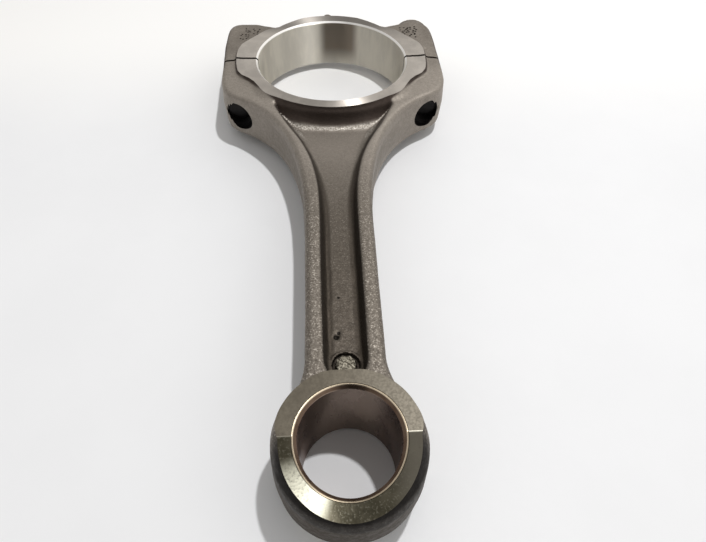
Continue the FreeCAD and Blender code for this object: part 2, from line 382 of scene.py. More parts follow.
def surface_nets(values):
    """Vertices (in grid steps) and quads of the zero surface of a field."""
    solid = values < 0
    count = sum(solid[a:a + solid.shape[0] - 1, b:b + solid.shape[1] - 1, c:c + solid.shape[2] - 1]
                .astype(np.int8) for a in (0, 1) for b in (0, 1) for c in (0, 1))
    active = (count > 0) & (count < 8)
    cells = np.argwhere(active)
    number = np.full(active.shape, -1, np.int64)
    number[tuple(cells.T)] = np.arange(len(cells))

    corners = [np.array([n & 1, n >> 1 & 1, n >> 2 & 1]) for n in range(8)]
    sampled = [values[tuple((cells + corner).T)] for corner in corners]
    total = np.zeros((len(cells), 3))
    hits = np.zeros(len(cells))
    for a in range(8):
        for axis in range(3):
            b = a | (1 << axis)
            if b == a:
                continue
            crossing = (sampled[a] < 0) != (sampled[b] < 0)
            gap = np.where(crossing, sampled[a] - sampled[b], 1)
            t = np.where(crossing, sampled[a] / gap, 0)
            place = corners[a] + t[:, None] * (corners[b] - corners[a])
            total += place * crossing[:, None]
            hits += crossing
    vertices = cells + total / hits[:, None]

    quads = []
    for axis in range(3):
        first, second = [a for a in range(3) if a != axis]
        ahead = np.roll(solid, -1, axis)
        changes = solid != ahead
        edge = np.argwhere(changes)
        inner = np.ones(len(edge), bool)
        for a in range(3):
            low = 0 if a == axis else 1
            inner &= (edge[:, a] >= low) & (edge[:, a] < active.shape[a])
        edge = edge[inner]
        step_1 = np.eye(3, dtype=int)[first]
        step_2 = np.eye(3, dtype=int)[second]
        ring = [number[tuple((edge - s).T)] for s in (0 * step_1, step_1, step_1 + step_2, step_2)]
        quad = np.stack(ring, 1)
        leaving = solid[tuple(edge.T)]
        if axis == 1:
            leaving = ~leaving
        quad[~leaving] = quad[~leaving][:, ::-1]
        quads.append(quad)
    return vertices, np.vstack(quads)


# --- meshes ---
def build_mesh(name, vertices_mm, faces, material=None):
    mesh = bpy.data.meshes.new(name)
    if isinstance(faces, np.ndarray):
        faces = faces.tolist()
    mesh.from_pydata((np.asarray(vertices_mm, float) * MM).tolist(), [], faces)
    mesh.update()
    piece = bpy.data.objects.new(name, mesh)
    bpy.context.scene.collection.objects.link(piece)
    if material is not None:
        mesh.materials.append(material)
    return piece


def turned_rings(profile, segments):
    """One ring of points round the z axis for each (radius, height) pair."""
    angle = np.arange(segments) / segments * 2 * math.pi
    return [np.stack([radius * np.cos(angle), radius * np.sin(angle), np.full(segments, height)], 1)
            for radius, height in profile]


def skin(rings, looped=False):
    """Vertices and faces of the solid through equal rings, closed at both ends or looped round."""
    count, segments = len(rings), len(rings[0])
    faces = []
    for row in range(count if looped else count - 1):
        a = row * segments
        b = (row + 1) % count * segments
        for i in range(segments):
            j = (i + 1) % segments
            faces.append([a + i, a + j, b + j, b + i])
    if not looped:
        last = (count - 1) * segments
        faces.append(list(range(segments))[::-1])
        faces.append([last + i for i in range(segments)])
    return np.vstack(rings), faces


def revolve(profile, centre=(0, 0), axis="z", segments=192):
    """A closed solid of revolution from (radius, height) pairs, given from its bottom to its top."""
    vertices, faces = skin(turned_rings(profile, segments))
    if axis == "y":
        return vertices[:, [1, 2, 0]] + (centre[0], 0, 0), faces
    return vertices + (centre[0], centre[1], 0), faces


def tube(profile, centre, segments=192):
    """A ring swept round z from a closed (radius, height) outline, given anticlockwise."""
    vertices, faces = skin(turned_rings(profile, segments), looped=True)
    return vertices + (centre[0], centre[1], 0), faces


def joined(parts):
    """Puts several (vertices, faces) meshes into one."""
    vertices, faces, base = [], [], 0
    for part_vertices, part_faces in parts:
        vertices.append(part_vertices)
        faces += [[base + i for i in face] for face in part_faces]
        base += len(part_vertices)
    return np.vstack(vertices), faces


def prism(outline, z_low, z_high):
    """A closed prism over a plan outline given anticlockwise."""
    outline = np.asarray(outline, float)
    return skin([np.column_stack([outline, np.full(len(outline), z)]) for z in (z_low, z_high)])


def side_prism(outline_yz, x_low, x_high):
    """A closed prism over an outline in the (y, z) plane, swept along x."""
    vertices, faces = prism(outline_yz, x_low, x_high)
    return np.stack([vertices[:, 2], vertices[:, 0], vertices[:, 1]], 1), faces


def screw_solid(x, y_low, y_high, crest, point=0.0, per_pitch=8, segments=48):
    """A rod along y with a right-hand thread of the given crest radius; its end may be pointed."""
    rows = int(round((y_high - y_low) / PITCH * per_pitch)) + 1
    y = np.linspace(y_low, y_high, rows)[:, None]
    turn = (np.arange(segments) / segments)[None, :]
    wave = (y / PITCH - turn) % 1.0
    rise = np.clip(np.abs(wave - 0.5) * 2.9 - 0.35, 0, 1)
    radius = crest - THREAD_DEPTH * rise
    if point:
        radius = np.minimum(radius, crest - THREAD_DEPTH - 0.2 + (y - y_low) * point)
    theta = turn * 2 * math.pi
    rings = np.stack([x + radius * np.sin(theta), y + 0 * theta, radius * np.cos(theta)], -1)
    return skin(rings)


def boolean(piece, tool, operation="DIFFERENCE"):
    """Applies a boolean; new faces keep the tool's material."""
    modifier = piece.modifiers.new("cut", "BOOLEAN")
    modifier.operation = operation
    modifier.object = tool
    modifier.solver = "MANIFOLD"
    modifier.material_mode = "TRANSFER"
    evaluated = piece.evaluated_get(bpy.context.evaluated_depsgraph_get())
    result = bpy.data.meshes.new_from_object(evaluated)
    piece.modifiers.clear()
    old = piece.data
    piece.data = result
    bpy.data.meshes.remove(old)


def cut(piece, shape, material):
    """Removes a closed shape from the piece; the fresh faces get the material."""
    vertices, faces = shape
    tool = build_mesh("tool", vertices, faces, material)
    boolean(piece, tool)
    bpy.data.objects.remove(tool)


def add_solid(piece, shape):
    vertices, faces = shape
    tool = build_mesh("tool", vertices, faces, piece.data.materials[0])
    boolean(piece, tool, "UNION")
    bpy.data.objects.remove(tool)


def sharpen(piece, degrees=32, machined=None):
    """Smooth shading with crisp edges where faces meet at more than the given angle.

    Edges between two materials are crisp as well, and so are the creases of a machined material.
    """
    mesh = piece.data
    mesh.polygons.foreach_set("use_smooth", np.ones(len(mesh.polygons), bool))
    mesh.set_sharp_from_angle(angle=math.radians(degrees))

    loop_edge = np.empty(len(mesh.loops), np.int32)
    mesh.loops.foreach_get("edge_index", loop_edge)
    corners, material = np.empty((2, len(mesh.polygons)), np.int32)
    mesh.polygons.foreach_get("loop_total", corners)
    mesh.polygons.foreach_get("material_index", material)
    normal = np.empty(len(mesh.polygons) * 3, np.float32)
    mesh.polygons.foreach_get("normal", normal)
    normal = normal.reshape(-1, 3)
    owner = np.repeat(np.arange(len(corners)), corners)
    order = np.argsort(loop_edge, kind="stable")
    first, second = owner[order].reshape(-1, 2).T
    edge = loop_edge[order].reshape(-1, 2)[:, 0]

    crisp = material[first] != material[second]
    if machined is not None:
        slot = mesh.materials.find(machined.name)
        bend = (normal[first] * normal[second]).sum(1)
        crisp |= (material[first] == slot) & (material[second] == slot) & (bend < CREASE_BEND)
    sharp = np.zeros(len(mesh.edges), bool)
    attribute = mesh.attributes.get("sharp_edge") or mesh.attributes.new("sharp_edge", "BOOLEAN", "EDGE")
    attribute.data.foreach_get("value", sharp)
    sharp[edge[crisp]] = True
    attribute.data.foreach_set("value", sharp)
    mesh.update()


# --- machining tools ---
def thrust_face_tools():
    plan = [(-FAR, PIN_Y + 45), (FAR, PIN_Y + 45), (FAR, FAR), (-FAR, FAR)]
    return joined([prism(plan, BIG_HALF, BIG_HALF + 5), prism(plan, -BIG_HALF - 5, -BIG_HALF)])


def small_face_tools():
    """Cuts the parallel and the tapered faces of the small end, above and below."""
    shank_side, free_side = PIN_Y + 35, PIN_Y - 30
    drop = TAPER * (CREASE_Y - free_side)
    upper = [(free_side, SMALL_HALF - drop), (CREASE_Y, SMALL_HALF), (shank_side, SMALL_HALF),
             (shank_side, SMALL_HALF + 5), (free_side, SMALL_HALF + 5)]
    lower = [(y, -z) for y, z in upper][::-1]
    return joined([side_prism(upper, -30, 30), side_prism(lower, -30, 30)])


def bore_tool(radius, chamfer, half, centre):
    outer = radius + chamfer
    profile = [(outer + 2, -half - 2), (outer, -half), (radius, -half + chamfer),
               (radius, half - chamfer), (outer, half), (outer + 2, half + 2)]
    return revolve(profile, centre, segments=256)


def fracture(x, z):
    """Height of the crack over the split plane: a slow wander with a grainy, torn surface."""
    along = [-45, -39, -36, -35, -34.5, -28, -26, 26, 28, 31, 34.4, 34.9, 38.6, 45]
    rise = [0.3, 0.3, 0.7, 0.9, 0.1, -0.1, -0.1, 0.2, 0.2, 0.6, 1.0, 2.0, 1.5, 1.5]
    points = np.stack([x, z, np.zeros_like(x)], -1)
    grain = value_noise(points, 3.1, 11) * 0.15 + value_noise(points, 1.3, 12) * 0.10
    grain = grain + value_noise(points, 0.6, 13) * 0.05
    return np.interp(x, along, rise) + grain


def crack_gap(x, z):
    """Half the width of the crack: tight inside, chipped open where it reaches the surface."""
    surface = np.where(np.abs(x) < 34.6, BIG_HALF, FORGED_HALF)
    depth = np.minimum(surface - np.abs(z), np.minimum(np.abs(x) - BIG_R, EAR_SPAN + 0.2 - np.abs(x)))
    return 0.05 + 0.50 * np.clip(1 - depth / 1.2, 0, 1)


def fracture_block(towards_cap):
    """A block whose one face is the crack; it removes the cap side or the rod side."""
    half_x, half_z = 46, 12
    step = 0.35
    x = np.arange(-half_x, half_x + step / 2, step)
    z = np.arange(-half_z, half_z + step / 2, step)
    grid_x, grid_z = np.meshgrid(x, z, indexing="ij")
    grid_y = fracture(grid_x, grid_z) + crack_gap(grid_x, grid_z) * (-1 if towards_cap else 1)
    far_y = FAR if towards_cap else -FAR * 4
    n, m = len(x), len(z)
    near = np.stack([grid_x, grid_y, grid_z], -1).reshape(-1, 3)
    border = ([(i, 0) for i in range(n)] + [(n - 1, k) for k in range(1, m)]
              + [(i, m - 1) for i in range(n - 2, -1, -1)] + [(0, k) for k in range(m - 2, 0, -1)])
    ring = [i * m + k for i, k in border]
    back = np.array([[x[i], far_y, z[k]] for i, k in border])
    faces = []
    for i in range(n - 1):
        for k in range(m - 1):
            a = i * m + k
            faces.append([a, a + m, a + m + 1, a + 1])
    base = n * m
    count = len(ring)
    for i in range(count):
        j = (i + 1) % count
        faces.append([ring[j], ring[i], base + i, base + j])
    faces.append([base + i for i in range(count)][::-1])
    if not towards_cap:
        faces = [face[::-1] for face in faces]
    return np.vstack([near, back]), faces


def dot_marks():
    """Generic dot-peened identification fields, one on each ear: plain scattered dots."""
    generator = np.random.default_rng(21)
    missing, scatter, middle_x = 0.34, 0.45, 31.3
    dots = []
    for side, top in ((-1, 24.0), (1, 23.8)):
        for row in range(DOT_ROWS):
            for column in range(DOT_COLUMNS):
                if generator.random() < missing:
                    continue
                x = side * middle_x + (column - 2) * 1.3 + (row - 3) * 0.28 * side
                y = top - row * 1.25
                spot = (x + generator.uniform(-scatter, scatter), y + generator.uniform(-scatter, scatter))
                cone = revolve([(0.03, FORGED_HALF - 0.45), (0.36, FORGED_HALF - 0.05),
                                (0.44, FORGED_HALF + 0.5)], spot, segments=10)
                dots.append(cone)
    return joined(dots)


# --- node trees ---
class Nodes:
    """A short way to write a node tree."""

    def __init__(self, tree):
        self.tree = tree

    def add(self, kind, inputs=None, **settings):
        node = self.tree.nodes.new(kind)
        for key, value in settings.items():
            setattr(node, key, value)
        for key, value in (inputs or {}).items():
            self.link(value, node.inputs[key])
        return node

    def link(self, value, socket):
        if isinstance(value, bpy.types.NodeSocket):
            self.tree.links.new(value, socket)
        else:
            socket.default_value = value

    def math(self, operation, a, b=0.0):
        return self.add("ShaderNodeMath", {0: a, 1: b}, operation=operation).outputs[0]

    def product(self, first, *others):
        for other in others:
            first = self.math("MULTIPLY", first, other)
        return first

    def vectors(self, operation, a, b):
        return self.add("ShaderNodeVectorMath", {0: a, 1: b}, operation=operation).outputs

    def ramp(self, value, low, high, to_low=0.0, to_high=1.0, smooth=True):
        """Goes from to_low to to_high while the value goes from low to high; level beyond them."""
        node = self.add("ShaderNodeMapRange", {"Value": value, "From Min": low, "From Max": high,
                                               "To Min": to_low, "To Max": to_high})
        node.interpolation_type = "SMOOTHSTEP" if smooth else "LINEAR"
        return node.outputs["Result"]

    def mix(self, share, a, b):
        """Colour a, with the given share of colour b."""
        node = self.add("ShaderNodeMix", data_type="RGBA")
        self.link(share, node.inputs[0])
        self.link(a, node.inputs[6])
        self.link(b, node.inputs[7])
        return node.outputs[2]

    def split(self, vector):
        node = self.add("ShaderNodeSeparateXYZ", {0: vector})
        return node.outputs[0], node.outputs[1], node.outputs[2]


class Surface(Nodes):
    """The node tree of a new material; its places and sizes are in millimetres."""

    def __init__(self, name):
        self.material = bpy.data.materials.new(name)
        self.material.use_nodes = True
        super().__init__(self.material.node_tree)
        self.shader = self.tree.nodes["Principled BSDF"]
        metres = self.add("ShaderNodeTexCoord").outputs["Object"]
        self.position = self.vectors("MULTIPLY", metres, (1 / MM, 1 / MM, 1 / MM))[0]

    def noise(self, size, detail=3.0, roughness=0.55, squeeze=(1.0, 1.0, 1.0)):
        """Noise in 0..1 with features about the given size, drawn out where squeeze is small."""
        place = self.vectors("MULTIPLY", self.position, squeeze)[0]
        node = self.add("ShaderNodeTexNoise", {"Vector": place, "Scale": 1 / size, "Detail": detail,
                                               "Roughness": roughness})
        return node.outputs["Fac"]

    def from_axis(self, centre_y):
        """Distance from an axis along z at the given place on the y axis."""
        x, y, z = self.split(self.position)
        offset = self.math("SUBTRACT", y, centre_y)
        return self.math("SQRT", self.math("ADD", self.product(x, x), self.product(offset, offset)))

    def tool_marks(self, radius):
        """Fine turning marks: noise that changes only with the radius."""
        node = self.add("ShaderNodeTexNoise", {"W": self.product(radius, 1 / TOOL_FEED),
                                               "Scale": 1.0, "Detail": 2.0}, noise_dimensions="1D")
        return node.outputs["Fac"]

    def bump(self, height, distance, strength=1.0, normal=None):
        node = self.add("ShaderNodeBump", {"Height": height, "Distance": distance * MM,
                                           "Strength": strength})
        if normal is not None:
            self.link(normal, node.inputs["Normal"])
        return node.outputs["Normal"]

    def radial(self, centre_y):
        """Direction away from an axis along z at the given place on the y axis."""
        offset = self.vectors("SUBTRACT", self.position, (0, centre_y, 0))[0]
        return self.vectors("MULTIPLY", offset, (1, 1, 0))[0]

    def brush(self, direction, amount):
        """Stretches the sheen along a direction of the piece, square to its tool marks."""
        world = self.add("ShaderNodeVectorTransform", {0: direction}, vector_type="VECTOR",
                         convert_from="OBJECT", convert_to="WORLD").outputs[0]
        self.link(world, self.shader.inputs["Tangent"])
        self.link(amount, self.shader.inputs["Anisotropic"])

    def finish(self, color, metallic, roughness, normal):
        self.link(color, self.shader.inputs["Base Color"])
        self.link(metallic, self.shader.inputs["Metallic"])
        self.link(roughness, self.shader.inputs["Roughness"])
        self.link(normal, self.shader.inputs["Normal"])
        return self.material


def rgb(r, g, b):
    return (r, g, b, 1.0)


# --- materials ---
def forged_material():
    """Shot-blasted forging: speckled, brown-grey and darker down the web, with painted shade in the pocket
    and on the small end's sides and a painted highlight across the pocket's head.
    """
    n = Surface("forged_steel")
    y = n.split(n.position)[1]
    speckle = n.noise(0.42, 2.0, 0.6)
    grain = n.noise(1.3, 3.0)
    patch = n.noise(14.0, 3.0)
    normal = n.add("ShaderNodeNewGeometry").outputs["Normal"]
    slant = n.math("ABSOLUTE", n.split(normal)[2])

    tone = n.mix(n.ramp(patch, 0.35, 0.65), rgb(0.200, 0.175, 0.148), rgb(0.255, 0.226, 0.194))
    tone = n.mix(n.ramp(y, 8, -14, 0, 0.55), tone, rgb(0.365, 0.328, 0.288))
    tone = n.mix(n.ramp(y, -38, -80, 0, 0.9), tone, rgb(0.165, 0.144, 0.121))
    coarse = n.ramp(y, -45, -95, 0.22, 0.62)
    tone = n.mix(n.product(n.ramp(speckle, 0.54, 0.70), coarse), tone, rgb(0.58, 0.53, 0.47))
    tone = n.mix(n.product(n.ramp(speckle, 0.46, 0.30), coarse), tone, rgb(0.065, 0.054, 0.044))
    tone = pocket_grime_shade_highlight(n, tone, slant, speckle, grain)
    tone = small_end_shade(n, tone, slant)
    tone = web_and_pip_tones(n, tone, speckle)

    roughness = n.ramp(grain, 0.3, 0.7, 0.52, 0.70)
    height = n.math("ADD", n.product(speckle, 0.6), n.product(grain, 0.4))
    return n.finish(tone, 0.9, roughness, n.bump(height, 0.13, 0.8))


def pocket_grime_shade_highlight(n, tone, slant, speckle, grain):
    """Painted shade, with some grime, in a band inside the pocket's mouth; painted shade on the wall at
    its head, and a painted highlight on the crest across its head.
    """
    x, y, z = n.split(n.position)
    level = n.math("ABSOLUTE", z)

    # The mouth's half width grows towards the big end.
    widening = n.math("MAXIMUM", n.math("ADD", y, 75.0), 0.0)
    mouth = n.math("ADD", n.product(widening, widening, 0.0070), 5.2)
    inward = n.math("SUBTRACT", mouth, n.math("ABSOLUTE", x))
    ragged = n.math("ADD", inward, n.ramp(grain, 0.3, 0.7, -0.15, 0.15))
    # Painted shade, with some grime: a dark band down the pocket's walls, inside its mouth.
    grime_and_shade = n.product(n.ramp(ragged, 3.1, 1.8), n.ramp(inward, -0.9, -0.5), n.ramp(level, 7.7, 7.1),
                     n.ramp(y, -29, -40), n.ramp(y, -130, -128.5))
    tone = n.mix(n.product(grime_and_shade, 0.88), tone, rgb(0.034, 0.027, 0.021))

    # Painted shade on the steep wall at the pocket's head, under the thrust face's ring.
    head = n.product(n.ramp(y, -37, -34.5), n.ramp(inward, 1.0, 2.5), n.ramp(slant, 0.93, 0.70))
    tone = n.mix(n.product(head, 0.88), tone, rgb(0.042, 0.027, 0.022))
    # Painted highlight along the crest of the fillet at the pocket's head.
    crest = n.product(n.ramp(slant, 0.980, 0.950), n.ramp(slant, 0.78, 0.91), n.ramp(y, -43, -37),
                      n.ramp(y, -26, -31), n.ramp(inward, 0.3, 1.0), n.ramp(speckle, 0.42, 0.6))
    return n.mix(n.product(crest, 0.70), tone, rgb(0.75, 0.71, 0.65))


def small_end_shade(n, tone, slant):
    """Painted shade: the sides of the small end are darkened, least where they stand upright."""
    y = n.split(n.position)[1]
    end = n.product(n.ramp(y, PIN_Y + 3, PIN_Y - 4), n.ramp(slant, 0.975, 0.93))
    tone = n.mix(n.product(end, 0.85), tone, rgb(0.036, 0.033, 0.031))
    # Painted shade, darkest of all on the bevels round the machined faces.
    bevel_shade = n.product(end, n.ramp(slant, 0.35, 0.55))
    return n.mix(n.product(bevel_shade, 0.85), tone, rgb(0.014, 0.012, 0.011))


def web_and_pip_tones(n, tone, speckle):
    """The web is darker than the flanges, most towards the small end; its pip is bare and bright, in a
    darkened groove.
    """
    x, y, z = n.split(n.position)
    level = n.math("ABSOLUTE", z)
    web = n.product(n.ramp(y, -25, -105, 0.25, 1.0), n.ramp(level, 4.5, 3.5), n.ramp(y, -30, -36))
    tone = n.mix(n.product(web, 0.72), tone, rgb(0.085, 0.070, 0.055))

    from_pip = n.from_axis(PIP_Y)
    top_side = n.ramp(z, 1, 2)
    groove_darkening = n.product(n.ramp(from_pip, 3.4, 3.1), top_side)
    tone = n.mix(n.product(groove_darkening, 0.85), tone, rgb(0.030, 0.024, 0.019))
    bare = n.product(n.ramp(from_pip, 2.5, 2.2), top_side)
    bare_tone = n.mix(n.ramp(speckle, 0.40, 0.62), rgb(0.085, 0.074, 0.056), rgb(0.40, 0.37, 0.30))
    tone = n.mix(n.product(bare, 0.9), tone, bare_tone)
    for pit_x, pit_y, size in PITS:
        away = n.vectors("DISTANCE", n.position, (pit_x, pit_y, WEB_HALF))["Value"]
        tone = n.mix(n.ramp(away, size * 1.15, size * 0.8, 0, 0.95), tone, rgb(0.012, 0.010, 0.008))
    return tone


def turned_material(name, tone, rough, centre_y, brushed, crown_shade=0.0):
    """A turned face: fine circular tool marks round a centre on the y axis."""
    n = Surface(name)
    y = n.split(n.position)[1]
    marks = n.tool_marks(n.from_axis(centre_y))
    patch = n.noise(5.0, 4.0)
    fine = n.noise(0.5, 3.0)
    color = n.mix(n.ramp(patch, 0.35, 0.68), rgb(*(c * 0.84 for c in tone)), rgb(*tone))
    color = n.mix(n.ramp(fine, 0.40, 0.25, 0, 0.45), color, rgb(*(c * 0.5 for c in tone)))
    # Painted shade: the face is darkened towards the crown.
    color = n.mix(n.ramp(y, 15, 25, 0, crown_shade), color, rgb(*(c * 0.4 for c in tone)))
    roughness = n.math("ADD", n.ramp(fine, 0.3, 0.7, rough - 0.05, rough + 0.07),
                       n.ramp(marks, 0.3, 0.7, -0.03, 0.03))
    normal = n.bump(fine, 0.02, 0.4, n.bump(marks, 0.012, 0.5))
    n.brush(n.radial(centre_y), brushed)
    return n.finish(color, 1.0, roughness, normal)


def bored_wall(name, dull, bright):
    """Starts a fine-bored wall: hair-fine rings round the axis and faint smears along it."""
    n = Surface(name)
    rings = n.noise(0.4, 3.0, squeeze=(0.02, 0.02, 1.0))
    smear = n.noise(5.0, 3.0, squeeze=(1.0, 1.0, 0.3))
    color = n.mix(n.ramp(smear, 0.35, 0.68), dull, bright)
    return n, color, smear, n.bump(rings, 0.008, 0.6)


def bush_seat_material():
    """The bore that the bush is pressed into."""
    n, color, smear, normal = bored_wall("bush_seat", rgb(0.172, 0.155, 0.138), rgb(0.20, 0.18, 0.16))
    n.brush(ALONG_BORE, 0.85)
    return n.finish(color, 1.0, n.ramp(smear, 0.3, 0.7, 0.36, 0.45), normal)


def big_bore_material():
    """The big-end bore: a painted highlight on its chamfer and a painted dark reflection of the viewer's
    side inside the crown.
    """
    n, color, smear, normal = bored_wall("big_end_bore", rgb(0.72, 0.685, 0.61), rgb(0.86, 0.82, 0.73))
    x, y, z = n.split(n.position)
    # Painted reflection: a dark upright band on the far wall, the viewer's dark side mirrored in it.
    viewer_reflection = n.ramp(n.math("ABSOLUTE", n.math("SUBTRACT", x, 3.4)), 8.5, 4.8)
    viewer_reflection = n.product(viewer_reflection, n.ramp(y, 18, 22), n.ramp(z, -9, -1))
    color = n.mix(n.product(viewer_reflection, 0.9), color, rgb(0.26, 0.215, 0.172))
    # Painted highlight: the chamfer is whitened into a bright line.
    edge = n.ramp(n.from_axis(0.0), BIG_R + 0.10, BIG_R + 0.20)
    color = n.mix(edge, color, rgb(0.95, 0.93, 0.90))
    n.brush(ALONG_BORE, n.math("SUBTRACT", 1.0, edge))
    roughness = n.math("ADD", n.ramp(smear, 0.3, 0.7, 0.50, 0.58), n.product(edge, -0.15))
    return n.finish(color, 1.0, roughness, normal)


def small_face_material():
    """The small end's faces: the level part ground dull, the taper turned, with a painted highlight patch,
    a painted highlight on the crease and painted light to the right.
    """
    n = Surface("small_end_face")
    x, y, z = n.split(n.position)
    radius = n.from_axis(PIN_Y)
    marks = n.tool_marks(radius)
    patch = n.noise(4.0, 4.0)
    fine = n.noise(0.45, 3.0)
    level_tone = n.mix(n.ramp(patch, 0.35, 0.68), rgb(0.100, 0.087, 0.068), rgb(0.125, 0.110, 0.086))
    # Painted light: the level part is painted lighter to the right, the side where the room is brighter.
    level_tone = n.mix(n.ramp(x, -6, 13, 0, 0.9), level_tone, rgb(0.165, 0.148, 0.120))

    turned_tone = n.mix(n.ramp(patch, 0.35, 0.68), rgb(0.085, 0.076, 0.052), rgb(0.140, 0.126, 0.090))
    turned_tone = n.mix(n.ramp(fine, 0.54, 0.68, 0, 0.35), turned_tone, rgb(0.36, 0.34, 0.27))
    # Painted light: the taper is painted lighter to the right as well.
    turned_tone = n.mix(n.ramp(x, 6, 13, 0, 0.8), turned_tone, rgb(0.24, 0.22, 0.18))
    # Painted highlight: a bright patch on the taper's lower left, where the lamp's streak crosses the
    # turning marks.
    leftward = n.product(x, -0.72)
    endward = n.product(n.math("SUBTRACT", y, PIN_Y), -0.69)
    facing = n.math("DIVIDE", n.math("ADD", leftward, endward), radius)
    taper_highlight = n.product(n.ramp(facing, 0.86, 0.99), n.ramp(fine, 0.28, 0.56, 0.7, 1.0))
    turned_tone = n.mix(taper_highlight, turned_tone, rgb(0.92, 0.90, 0.74))

    taper = n.ramp(y, CREASE_Y + 0.05, CREASE_Y - 0.05, smooth=False)
    color = n.mix(taper, level_tone, turned_tone)
    color = n.mix(n.ramp(fine, 0.40, 0.25, 0, 0.25), color, rgb(0.08, 0.07, 0.052))
    # Painted highlight along the crease, brighter to the right.
    crease = n.ramp(n.math("ABSOLUTE", n.math("SUBTRACT", y, CREASE_Y)), 0.22, 0.08)
    crease_highlight = n.product(crease, n.ramp(x, -6, 10, 0.12, 0.65))
    color = n.mix(crease_highlight, color, rgb(0.75, 0.72, 0.62))
    n.brush(n.radial(PIN_Y), n.product(taper, 0.92))
    roughness = n.math("ADD", n.ramp(taper, 0.0, 1.0, 0.54, 0.42), n.ramp(fine, 0.3, 0.7, -0.05, 0.06))
    normal = n.bump(fine, 0.03, 0.5, n.bump(marks, 0.012, 0.5))
    return n.finish(color, 1.0, roughness, normal)


def fracture_material():
    """Torn, grainy steel, dark where the crack meets the outside."""
    n = Surface("torn_steel")
    grain = n.noise(0.5, 4.0, 0.7)
    level = n.math("ABSOLUTE", n.split(n.position)[2])
    tone = n.mix(n.ramp(grain, 0.35, 0.65), rgb(0.09, 0.085, 0.08), rgb(0.42, 0.40, 0.38))
    tone = n.mix(n.ramp(level, 6.2, 7.2), tone, rgb(0.035, 0.028, 0.024))
    return n.finish(tone, 0.9, n.ramp(grain, 0.3, 0.7, 0.35, 0.6), n.bump(grain, 0.25, 1.0))


def bolt_material():
    """Dark phosphated steel, painted almost black towards the thread's end as shade deep in the tapped
    hole.
    """
    n = Surface("bolt_steel")
    patch = n.noise(2.0, 4.0)
    grain = n.noise(0.35, 2.0)
    tone = n.mix(n.ramp(patch, 0.35, 0.7), rgb(0.055, 0.052, 0.050), rgb(0.115, 0.107, 0.10))
    # Painted shade: the end of the thread, deep in the tapped hole, is darkened nearly to black.
    tone = n.mix(n.ramp(n.split(n.position)[1], -10, -16, 0, 0.9), tone, rgb(0.008, 0.007, 0.007))
    return n.finish(tone, 0.75, n.ramp(grain, 0.3, 0.7, 0.38, 0.52), n.bump(grain, 0.03, 0.6))


def mark_material():
    """The inside of a peened dot, in a dark tone."""
    n = Surface("peened_mark")
    grain = n.noise(0.5, 2.0)
    tone = n.mix(n.ramp(grain, 0.3, 0.7), rgb(0.02, 0.016, 0.013), rgb(0.06, 0.05, 0.042))
    return n.finish(tone, 0.6, 0.6, n.bump(grain, 0.03, 0.5))


def thread_material():
    """The tapped holes, painted almost black as the shade inside them."""
    n = Surface("tapped_thread")
    grain = n.noise(0.6, 3.0)
    # Painted shade: near-black tone for the inside of the holes.
    tone = n.mix(n.ramp(grain, 0.3, 0.7), rgb(0.003, 0.003, 0.003), rgb(0.010, 0.008, 0.008))
    n.shader.inputs["Specular IOR Level"].default_value = 0.06
    return n.finish(tone, 0.0, n.ramp(grain, 0.3, 0.7, 0.40, 0.60), n.bump(grain, 0.02, 0.5))


def bush_material():
    """The bush's bore: dark brown bronze, with a painted highlight on the rim of its chamfer and a painted
    reflection lightening the far side of its wall.
    """
    n = Surface("bush_bronze")
    radius = n.from_axis(PIN_Y)
    wall = n.ramp(radius, BUSH_R + 0.16, BUSH_R + 0.04)
    # Painted highlight: a bright line round the outer edge of the chamfer.
    rim = n.ramp(radius, BUSH_R + BUSH_CHAMFER - 0.20, BUSH_R + BUSH_CHAMFER - 0.07)
    smear = n.noise(4.0, 3.0, squeeze=(1.0, 1.0, 0.4))
    rings = n.noise(0.45, 2.0, squeeze=(0.02, 0.02, 1.0))
    slope_tone = n.mix(n.ramp(smear, 0.3, 0.7), rgb(0.115, 0.076, 0.054), rgb(0.19, 0.135, 0.098))
    slope_tone = n.mix(rim, slope_tone, rgb(0.85, 0.72, 0.55))
    wall_tone = n.mix(n.ramp(smear, 0.35, 0.7), rgb(0.105, 0.065, 0.050), rgb(0.18, 0.125, 0.100))
    y = n.split(n.position)[1]
    # Painted reflection: the wall is painted lighter towards its far side.
    wall_tone = n.mix(n.ramp(y, PIN_Y + 6, PIN_Y + 9.5, 0, 0.75), wall_tone, rgb(0.33, 0.26, 0.215))
    tone = n.mix(wall, slope_tone, wall_tone)
    n.brush(ALONG_BORE, n.product(wall, 0.85))
    return n.finish(tone, 1.0, n.ramp(smear, 0.3, 0.7, 0.25, 0.33), n.bump(rings, 0.008, 0.6))


FORGED = forged_material()
# The thrust face is given painted shade towards its crown.
THRUST = turned_material("thrust_face", (0.58, 0.535, 0.485), 0.40, 0.0, 0.96, crown_shade=0.8)
SMALL_FACE = small_face_material()
BORE = big_bore_material()
HOUSING = bush_seat_material()
SEAT = turned_material("bolt_seat", (0.45, 0.42, 0.39), 0.35, 0.0, 0.0)
TORN = fracture_material()
MARK = mark_material()
THREAD = thread_material()
BOLT = bolt_material()
BUSH = bush_material()
BUSH_FACE = turned_material("bush_face", (0.62, 0.52, 0.38), 0.38, PIN_Y, 0.9)


